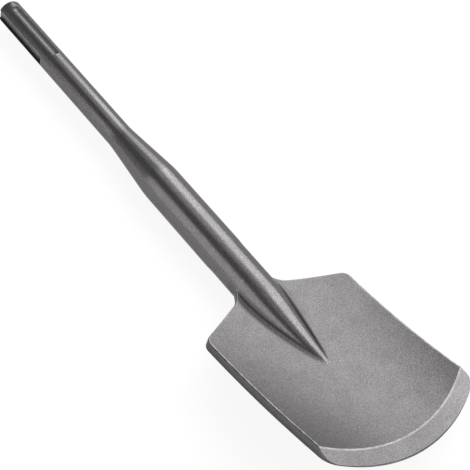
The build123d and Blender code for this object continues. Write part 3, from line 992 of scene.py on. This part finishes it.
def shank_grooves(values):
    """Geometry tree that cuts every groove out of the forged blank and sets its steels."""
    inputs = {"Blank": "NodeSocketGeometry"}
    inputs.update({name: kind_of_socket(value) for name, value in values.items()})
    tree, size, result = new_group("shank_grooves", "GeometryNodeTree", inputs,
                                   {"Tool": "NodeSocketGeometry"})
    lock = run_group(tree, lock_cutter(), {
        "Shank Radius": size["Shank Radius"], "Start": size["Lock Start"], "End": size["Lock End"],
        "Radius": size["Lock Radius"], "Depth": size["Lock Depth"]})
    slot_group, ring_group = slot_cutter(), ring_of_cutters()
    wide, pair = (run_group(tree, slot_group, {
        "Shank Radius": size["Shank Radius"], "Length": size["Slot Length"], "Depth": size["Slot Depth"],
        "Run-out": size["Slot Run-out"], "Width": size[width]}) for width in ("Wide Width", "Pair Width"))

    lock_step = calculate(tree, "DIVIDE", 2 * math.pi, size["Locking Grooves"])
    pair_first = calculate(tree, "SUBTRACT", -math.pi / 2, size["Pair Angle"])
    pair_step = calculate(tree, "MULTIPLY", size["Pair Angle"], 2.0)
    cutters = place(tree, "GeometryNodeJoinGeometry")
    for cutter, count, first, step in ((lock, size["Locking Grooves"], 0.0, lock_step),
                                       (wide, 1, math.pi / 2, 0.0),
                                       (pair, 2, pair_first, pair_step)):
        ring = run_group(tree, ring_group, {
            "Cutter": cutter, "Count": count, "First Angle": first, "Step Angle": step})
        tree.links.new(ring, cutters.inputs[0])
    realized = place(tree, "GeometryNodeRealizeInstances", {"Geometry": cutters.outputs[0]})
    moved = place(tree, "GeometryNodeTransform", {
        "Geometry": realized.outputs[0],
        "Translation": combine(tree, X=calculate(tree, "MULTIPLY", size["Insertion"], -1.0)),
        "Rotation": combine(tree, X=calculate(tree, "MULTIPLY", size["Roll"], -1.0))})
    named = place(tree, "GeometryNodeStoreNamedAttribute", {
        "Geometry": moved.outputs[0], "Name": "cut", "Value": True}, data_type="BOOLEAN", domain="FACE")

    cut = place(tree, "GeometryNodeMeshBoolean", {"Mesh 1": size["Blank"], "Mesh 2": named.outputs[0]},
                operation="DIFFERENCE", solver="MANIFOLD")
    whole = place(tree, "GeometryNodeRealizeInstances", {"Geometry": cut.outputs["Mesh"]})
    steels = place(tree, "GeometryNodeSetMaterial",
                   {"Geometry": whole.outputs[0], "Material": size["Blasted Steel"]})
    # The side walls and the edge take the darker steel, which is painted shade
    for name, material in (("ground", "Ground Steel"), ("shaded_walls", "Shaded Wall Steel"), ("cut", "Cut Steel")):
        chosen = place(tree, "GeometryNodeInputNamedAttribute", {"Name": name}, data_type="BOOLEAN")
        steels = place(tree, "GeometryNodeSetMaterial", {
            "Geometry": steels.outputs[0], "Selection": chosen.outputs["Attribute"],
            "Material": size[material]})
    tree.links.new(steels.outputs[0], result["Tool"])
    return tree


def cut_grooves(blank, scene, steels):
    """The blank's mesh with its grooves cut and its steels set."""
    values = groove_values(scene, steels)
    holder = bpy.data.objects.new("forged_blank", blank)
    bpy.context.collection.objects.link(holder)
    modifier = holder.modifiers.new("shank_grooves", "NODES")
    modifier.node_group = shank_grooves(values)
    for item in modifier.node_group.interface.items_tree:
        if item.in_out == "INPUT" and item.name in values:
            modifier[item.identifier] = values[item.name]
    graph = bpy.context.evaluated_depsgraph_get()
    mesh = bpy.data.meshes.new_from_object(holder.evaluated_get(graph), depsgraph=graph)
    bpy.data.objects.remove(holder)
    return mesh


def blasted_grain():
    """Shader group of the pits that the shot leaves, and of the slow change from place to place."""
    tree, given, result = new_group("blasted_grain", "ShaderNodeTree", {
        "Grain Size": "NodeSocketFloat", "Mottle Size": "NodeSocketFloat"}, {
        "Height": "NodeSocketFloat", "Speckle": "NodeSocketFloat", "Mottle": "NodeSocketFloat"})
    on_tool = place(tree, "ShaderNodeTexCoord").outputs["Object"]
    density = calculate(tree, "DIVIDE", 1.0, given["Grain Size"])
    pits = place(tree, "ShaderNodeTexNoise", {
        "Vector": on_tool, "Scale": density, "Detail": 2.0, "Roughness": 0.6})
    dents = place(tree, "ShaderNodeTexVoronoi", {
        "Vector": on_tool, "Scale": calculate(tree, "MULTIPLY", density, DENT_DENSITY)}, feature="SMOOTH_F1")
    height = calculate(tree, "MULTIPLY_ADD", dents.outputs["Distance"], DENT_DEPTH, pits.outputs[0])
    speckle = place(tree, "ShaderNodeTexNoise", {
        "Vector": on_tool, "Scale": calculate(tree, "MULTIPLY", density, SPECKLE_DENSITY), "Detail": 1.0})
    mottle = place(tree, "ShaderNodeTexNoise", {
        "Vector": on_tool, "Scale": calculate(tree, "DIVIDE", 1.0, given["Mottle Size"]), "Detail": 4.0,
        "Roughness": 0.55})
    tree.links.new(height, result["Height"])
    tree.links.new(speckle.outputs[0], result["Speckle"])
    tree.links.new(mottle.outputs[0], result["Mottle"])
    return tree


def rim_wear_and_shade():
    """Shader group of the wear and painted highlight that brighten rims, and of the dullness and painted
    shade that are marked beside them.
    """
    tree, given, result = new_group("rim_wear_and_shade", "ShaderNodeTree", {
        "Reach": "NodeSocketFloat", "Sharpness": "NodeSocketFloat", "Break-up Size": "NodeSocketFloat"}, {
        "Wear": "NodeSocketFloat", "Dullness and painted shade": "NodeSocketFloat"})
    softened = place(tree, "ShaderNodeBevel", {"Radius": given["Reach"]}, samples=12)
    surface = place(tree, "ShaderNodeNewGeometry")
    facing = place(tree, "ShaderNodeVectorMath",
                   {0: softened.outputs[0], 1: surface.outputs["Normal"]}, operation="DOT_PRODUCT")
    turned = calculate(tree, "SUBTRACT", 1.0, facing.outputs["Value"])
    rims = place(tree, "ShaderNodeMath", {0: turned, 1: given["Sharpness"]},
                 operation="MULTIPLY", use_clamp=True)
    break_up = place(tree, "ShaderNodeTexNoise", {
        "Vector": place(tree, "ShaderNodeTexCoord").outputs["Object"],
        "Scale": calculate(tree, "DIVIDE", 1.0, given["Break-up Size"]), "Detail": 3.0})
    spots = remap(tree, break_up.outputs[0], GAP_WEAR, 1.0, *GAP_RANGE)
    # Marks above 0 add wear and painted highlight, marks below 0 add dullness and painted shade
    wear = marked(tree, "wear")
    bright = calculate(tree, "MULTIPLY", calculate(tree, "MAXIMUM", rims.outputs[0], wear), spots)
    dull_and_shaded = calculate(tree, "MAXIMUM", calculate(tree, "MULTIPLY", wear, -1.0), 0.0)
    tree.links.new(bright, result["Wear"])
    tree.links.new(dull_and_shaded, result["Dullness and painted shade"])
    return tree


def painted_crease_shade():
    """Shader group that finds creases and paints shade into them."""
    tree, given, result = new_group("painted_crease_shade", "ShaderNodeTree", {
        "Reach": "NodeSocketFloat", "Darkest": "NodeSocketFloat"}, {"Unshaded": "NodeSocketFloat"})
    openness = place(tree, "ShaderNodeAmbientOcclusion", {"Distance": given["Reach"]}, samples=8)
    clean = remap(tree, openness.outputs["AO"], given["Darkest"], 1.0, *CREASE_RANGE)
    tree.links.new(clean, result["Unshaded"])
    return tree


def steel(name, finish, effects, base, roughness, speckle, pits, reach, grain_size, darkest,
          shade=1.0, wear=1.0):
    """Steel of one finish. Where a value is a pair, it goes from the bar's to the blade's."""
    material = bpy.data.materials.new(name)
    material.use_nodes = True
    tree = material.node_tree
    shader = tree.nodes["Principled BSDF"]
    # Painted shade along the outlines: a grey tint darkens reflections seen at a slant
    shader.inputs["Specular Tint"].default_value = finish.slant

    def effect(kind, inputs):
        return place(tree, "ShaderNodeGroup", inputs, node_tree=effects[kind]).outputs

    def settle(value):
        return remap(tree, marked(tree, "blade"), *value) if isinstance(value, tuple) else value

    def swing(value, amount, middle=1.0):
        return remap(tree, value, middle - amount, middle + amount, *NOISE_RANGE)

    grain = effect("grain", {"Grain Size": grain_size, "Mottle Size": finish.mottle_size})
    rims = effect("wear", {
        "Reach": reach, "Sharpness": finish.wear_sharpness, "Break-up Size": finish.break_up})
    # Painted shade, darker in creases
    crease_shade = effect("crease_shade", {"Reach": finish.crease_shade_reach, "Darkest": settle(darkest)})

    # Painted shade: marks below 0 darken the level and lower the metallic
    unshaded_polish = calculate(tree, "SUBTRACT", 1.0, rims["Dullness and painted shade"])
    level = settle(shade)
    # Painted shade: the level darkens in creases and in the left valley's painted shadow
    for change in (swing(grain["Speckle"], speckle), swing(grain["Mottle"], finish.mottle), crease_shade["Unshaded"],
                   unshaded_polish, remap(tree, marked(tree, "valley"), 1.0, finish.valley_shade)):
        level = calculate(tree, "MULTIPLY", level, change)
    tinted = place(tree, "ShaderNodeVectorMath", {0: base[:3], "Scale": level}, operation="SCALE")
    # Wear and painted highlight: the worn colour mixes in along the rims
    colour_mix = place(tree, "ShaderNodeMix", {
        "Factor": calculate(tree, "MULTIPLY", rims["Wear"], settle(wear)), "A": tinted.outputs[0],
        "B": tuple(finish.worn_and_highlit)}, data_type="RGBA")
    uneven = calculate(tree, "ADD", settle(roughness), swing(grain["Mottle"], -finish.uneven, middle=0.0))
    rough = calculate(tree, "MULTIPLY_ADD", rims["Dullness and painted shade"], finish.dull_roughness, uneven)
    relief = place(tree, "ShaderNodeBump", {
        "Height": grain["Height"], "Strength": settle(pits), "Distance": grain_size * finish.pit_depth})
    tree.links.new(colour_mix.outputs["Result"], shader.inputs["Base Color"])
    tree.links.new(rough, shader.inputs["Roughness"])
    tree.links.new(unshaded_polish, shader.inputs["Metallic"])
    tree.links.new(relief.outputs[0], shader.inputs["Normal"])
    return material


def blasted_steel(finish, effects):
    """Forged steel as the shot left it: smoother on the bar, greyer and more pitted on the blade."""
    return steel("blasted_steel", finish, effects, base=finish.blasted,
                 roughness=(finish.bar_roughness, finish.blasted_roughness),
                 speckle=finish.blasted_speckle, pits=(finish.bar_pits, finish.blade_pits),
                 reach=finish.wear_reach, grain_size=finish.grain_size,
                 darkest=(finish.bar_darkest, finish.crease_shade_darkest), shade=(1.0, finish.blade_shade),
                 wear=(finish.bar_wear, 1.0))


def ground_steel(finish, effects):
    """Steel of the ground bevel, with finer and stronger marks."""
    return steel("ground_steel", finish, effects, base=finish.ground, roughness=finish.ground_roughness,
                 speckle=finish.ground_speckle, pits=finish.ground_pits, reach=finish.sharp_reach,
                 grain_size=finish.ground_grain, darkest=finish.crease_shade_darkest)


def shaded_wall_steel(finish, effects):
    """Steel of the side walls and the edge, darker as painted shade."""
    return steel("shaded_wall_steel", finish, effects, base=finish.shaded_walls, roughness=finish.blasted_roughness,
                 speckle=finish.blasted_speckle, pits=finish.shaded_wall_pits, reach=finish.sharp_reach,
                 grain_size=finish.grain_size, darkest=finish.crease_shade_darkest)


def cut_steel(finish, effects):
    """Steel of the milled grooves, which are lighter and less pitted."""
    return steel("cut_steel", finish, effects, base=finish.cut, roughness=finish.cut_roughness,
                 speckle=finish.cut_speckle, pits=finish.cut_pits, reach=finish.cut_reach,
                 grain_size=finish.grain_size, darkest=finish.cut_darkest)


def floor_material(settings):
    """Floor that glows white to the camera and in the steel, and lights the tool as pale paint does."""
    material = bpy.data.materials.new("pale_floor")
    material.use_nodes = True
    tree = material.node_tree
    tree.nodes.remove(tree.nodes["Principled BSDF"])
    painted = place(tree, "ShaderNodeBsdfDiffuse", {"Color": settings.floor_paint})
    shaded = place(tree, "ShaderNodeBsdfDiffuse", {"Color": settings.floor_shade})
    away = place(tree, "ShaderNodeVectorMath",
                 {0: place(tree, "ShaderNodeTexCoord").outputs["Object"]}, operation="LENGTH")
    strength = remap(tree, away.outputs["Value"], settings.near_glow, settings.far_glow,
                     settings.glow_start, settings.glow_end)
    glow = place(tree, "ShaderNodeEmission", {"Color": (1.0, 1.0, 1.0, 1.0), "Strength": strength})
    seen = place(tree, "ShaderNodeAddShader", {0: shaded.outputs[0], 1: glow.outputs[0]})
    ray = place(tree, "ShaderNodeLightPath").outputs
    direct = calculate(tree, "MAXIMUM", ray["Is Camera Ray"], ray["Is Glossy Ray"])
    direct = calculate(tree, "MAXIMUM", direct, ray["Is Transmission Ray"])
    mix = place(tree, "ShaderNodeMixShader", {"Fac": direct, 1: painted.outputs[0], 2: seen.outputs[0]})
    tree.links.new(mix.outputs[0], tree.nodes["Material Output"].inputs["Surface"])
    return material


class SPADE_OT_forge(bpy.types.Operator):
    """Forge the chisel, cut its grooves, and finish its steel"""

    bl_idname = "spade.forge"
    bl_label = "Forge the Chisel"

    def execute(self, context):
        scene = context.scene
        finish = scene.spade_finish
        # Shared effects: grain; rim wear with painted highlights, dullness and painted shade; painted shade
        # in creases
        effects = {"grain": blasted_grain(), "wear": rim_wear_and_shade(), "crease_shade": painted_crease_shade()}
        steels = {
            "Blasted Steel": blasted_steel(finish, effects),
            "Ground Steel": ground_steel(finish, effects),
            "Shaded Wall Steel": shaded_wall_steel(finish, effects),
            "Cut Steel": cut_steel(finish, effects),
        }
        blank = Blank(scene).build()
        blank.materials.append(steels["Blasted Steel"])
        mesh = cut_grooves(blank, scene, steels)
        if len(mesh.polygons) in (0, len(blank.polygons)):
            raise RuntimeError("The grooves were not cut")
        bpy.data.meshes.remove(blank)
        mesh.name = PIECE_NAME
        mesh.shade_smooth()
        mesh.set_sharp_from_angle(angle=SMOOTH_TURN)
        tool = bpy.data.objects.new(PIECE_NAME, mesh)
        context.collection.objects.link(tool)
        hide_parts(CAD_NODE)
        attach(tool, "root")
        return {"FINISHED"}


class SPADE_OT_studio(bpy.types.Operator):
    """Lay the floor, hang the lamps and stand the camera"""

    bl_idname = "spade.studio"
    bl_label = "Set Up the Studio"

    def execute(self, context):
        settings = context.scene.spade_studio
        self.lay_floor(context, settings)
        self.light_room(context, settings)
        self.stand_camera(context, settings)
        context.scene.view_settings.view_transform = "Standard"
        return {"FINISHED"}

    def lay_floor(self, context, settings):
        """Round floor under the tool, which bends up into a low wall."""
        radius, bend, level = settings.floor_radius, settings.wall_bend, cad_box[0].z
        profile = [(radius / 2, 0.0)]
        profile += [(radius + bend * out, bend * up) for out, up in WALL_BEND]
        profile.append((radius, settings.wall_height))
        turns = [2 * math.pi * step / FLOOR_POINTS for step in range(FLOOR_POINTS)]
        points = [(0.0, 0.0, level)]
        points += [(out * math.cos(turn), out * math.sin(turn), level + up)
                   for out, up in profile for turn in turns]
        rings = np.arange(1, len(points)).reshape(len(profile), FLOOR_POINTS)
        ahead = np.roll(rings, -1, axis=1)
        faces = [(0, a, b) for a, b in zip(rings[0].tolist(), ahead[0].tolist())]
        faces += np.stack([rings[:-1], rings[1:], ahead[1:], ahead[:-1]], axis=-1).reshape(-1, 4).tolist()
        mesh = bpy.data.meshes.new("studio_floor")
        mesh.from_pydata(points, [], faces)
        mesh.shade_smooth()
        mesh.materials.append(floor_material(settings))
        floor = bpy.data.objects.new("studio_floor", mesh)
        context.collection.objects.link(floor)

    def light_room(self, context, settings):
        """Even white light from all round, and the soft boxes."""
        world = bpy.data.worlds.new("studio_light")
        world.use_nodes = True
        background = world.node_tree.nodes["Background"].inputs
        background["Color"].default_value = (1.0, 1.0, 1.0, 1.0)
        background["Strength"].default_value = settings.fill_strength
        context.scene.world = world
        for name, bearing, elevation, width, height, power, part in SOFT_BOXES:
            lamp = bpy.data.lights.new(name, "AREA")
            lamp.shape = "RECTANGLE"
            lamp.size = width
            lamp.size_y = height
            lamp.energy = getattr(settings, power) * part
            self.hang_lamp(context, settings, lamp, math.radians(bearing), math.radians(elevation))

    def hang_lamp(self, context, settings, lamp, bearing, elevation):
        """Hang a lamp at a bearing and an elevation, facing the tool's middle."""
        turn = Matrix.Rotation(bearing, 3, "Z") @ Matrix.Rotation(-elevation, 3, "Y")
        toward = turn @ Vector((settings.lamp_distance, 0.0, 0.0))
        holder = bpy.data.objects.new(lamp.name, lamp)
        holder.location = Vector(settings.lamp_aim) + toward
        holder.rotation_euler = (-toward).to_track_quat("-Z", "Y").to_euler()
        context.collection.objects.link(holder)

    def stand_camera(self, context, settings):
        """Camera at the photograph's viewing angle."""
        camera = bpy.data.cameras.new("studio_camera")
        camera.sensor_width = 36.0
        camera.lens = settings.focal_length
        camera.clip_start = 0.01
        stand = bpy.data.objects.new("studio_camera", camera)
        spot, aim = Vector(settings.camera_place), Vector(settings.camera_aim)
        view = (aim - spot).to_track_quat("-Z", "Y").to_matrix().to_4x4()
        turn = Matrix.Rotation(settings.camera_roll, 4, "Z")
        stand.matrix_world = Matrix.Translation(spot) @ view @ turn
        context.collection.objects.link(stand)
        context.scene.camera = stand


OPERATORS = (SPADE_OT_forge, SPADE_OT_studio)


class SPADE_PT_panel(bpy.types.Panel):
    """Lists the steps that make the chisel and its studio"""

    bl_idname = "SPADE_PT_panel"
    bl_label = "Clay Spade Chisel"
    bl_space_type = "VIEW_3D"
    bl_region_type = "UI"
    bl_category = "Clay Spade"

    def draw(self, context):
        for operator in OPERATORS:
            self.layout.operator(operator.bl_idname)
        for name in SETTINGS:
            settings = getattr(context.scene, name)
            column = self.layout.column(align=True)
            for key in settings.bl_rna.properties.keys():
                if key not in ("rna_type", "name"):
                    column.prop(settings, key)


SETTINGS = {
    "spade_bar": BarSizes,
    "spade_grooves": GrooveSizes,
    "spade_fairing": FairingSizes,
    "spade_blade": BladeSizes,
    "spade_edge": EdgeSizes,
    "spade_density": MeshDensity,
    "spade_finish": SteelFinish,
    "spade_marks": WearAndShadeMarks,
    "spade_studio": StudioSettings,
}


def register():
    """Register the settings, the operators and the panel."""
    for name, group in SETTINGS.items():
        bpy.utils.register_class(group)
        setattr(bpy.types.Scene, name, PointerProperty(type=group))
    for item in (*OPERATORS, SPADE_PT_panel):
        bpy.utils.register_class(item)


def unregister():
    """Remove the settings, the operators and the panel."""
    for item in (SPADE_PT_panel, *reversed(OPERATORS)):
        bpy.utils.unregister_class(item)
    for name, group in reversed(SETTINGS.items()):
        delattr(bpy.types.Scene, name)
        bpy.utils.unregister_class(group)


def main():
    """Make the chisel and its studio."""
    register()
    bpy.ops.spade.forge()
    bpy.ops.spade.studio()


if __name__ == "__main__":
    main()
